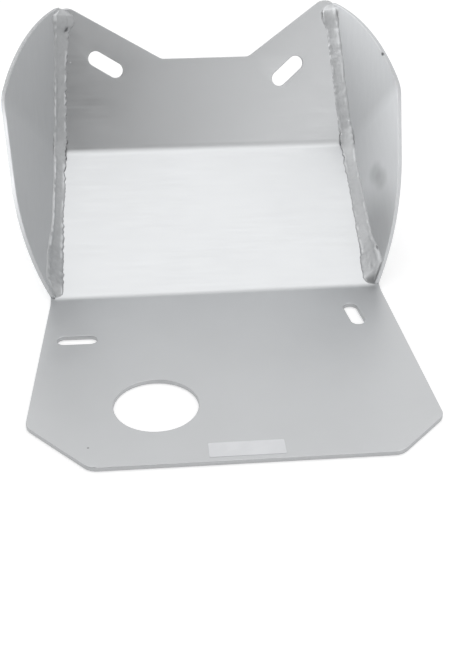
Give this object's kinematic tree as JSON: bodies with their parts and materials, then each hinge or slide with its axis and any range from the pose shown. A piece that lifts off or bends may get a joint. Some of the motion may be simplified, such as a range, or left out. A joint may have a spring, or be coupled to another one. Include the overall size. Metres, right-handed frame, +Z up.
{
  "type": "skid plate",
  "caption": "Folded sheet aluminium motorbike skid plate with flared side wings welded on, a notched nose, mounting slots and a round drain hole.",
  "frame": {"origin": "on the centre line, halfway along the outer face of the belly panel", "axes": "+X to the right across the plate seen from the open end of the belly, +Y along the plate towards the nose, +Z up from the belly into the engine space"},
  "size_m": [0.2727, 0.3194, 0.1581],
  "materials": {
    "aluminium_sheet": "satin mill finish",
    "weld_metal": "as welded",
    "label_film": "matte"
  },
  "bodies": {
    "root": {"base_plate": "aluminium_sheet", "left_side_wing": "aluminium_sheet", "right_side_wing": "aluminium_sheet", "left_weld_bead": "weld_metal", "right_weld_bead": "weld_metal", "label": "label_film"}
  },
  "joints": []
}
